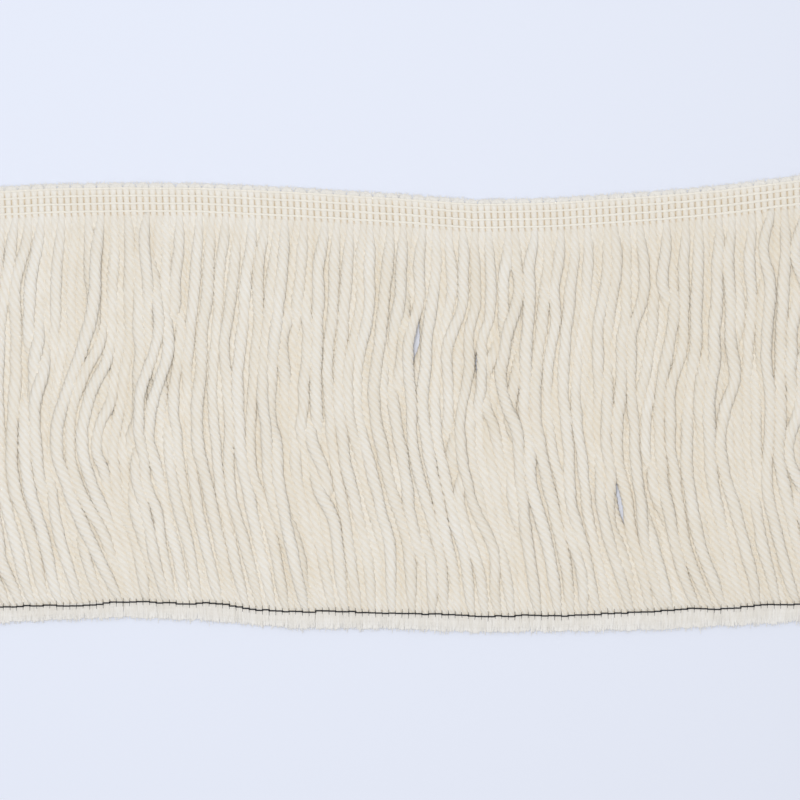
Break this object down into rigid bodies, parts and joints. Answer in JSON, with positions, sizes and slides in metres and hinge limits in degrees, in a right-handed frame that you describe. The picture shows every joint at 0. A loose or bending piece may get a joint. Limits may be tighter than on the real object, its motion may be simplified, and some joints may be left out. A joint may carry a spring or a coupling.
{
  "type": "chainette fringe trim",
  "caption": "Cut length of yarn fringe trim: a narrow knitted heading with chain-stitch lines, loose strands below it, and a dark chain stitch holding the strand ends together.",
  "frame": {"origin": "on the surface the trim lies on, under the middle of its bounding box", "axes": "+X along the trim's length, +Y from the cut strand ends up to the heading's top edge, +Z off the surface, out of the trim's face"},
  "size_m": [0.2112, 0.1062, 0.0041],
  "materials": {
    "cotton_yarn": "soft plied cotton yarn, natural cream, matt with a fine fuzz",
    "chain_thread": "smooth cream thread, knitted in a chain",
    "holding_thread": "fine black sewing thread"
  },
  "bodies": {
    "root": {"fringe": "cotton_yarn", "heading_chain_1": "chain_thread", "heading_chain_2": "chain_thread", "heading_chain_3": "chain_thread", "heading_chain_4": "chain_thread", "holding_stitch": "holding_thread"}
  },
  "joints": []
}
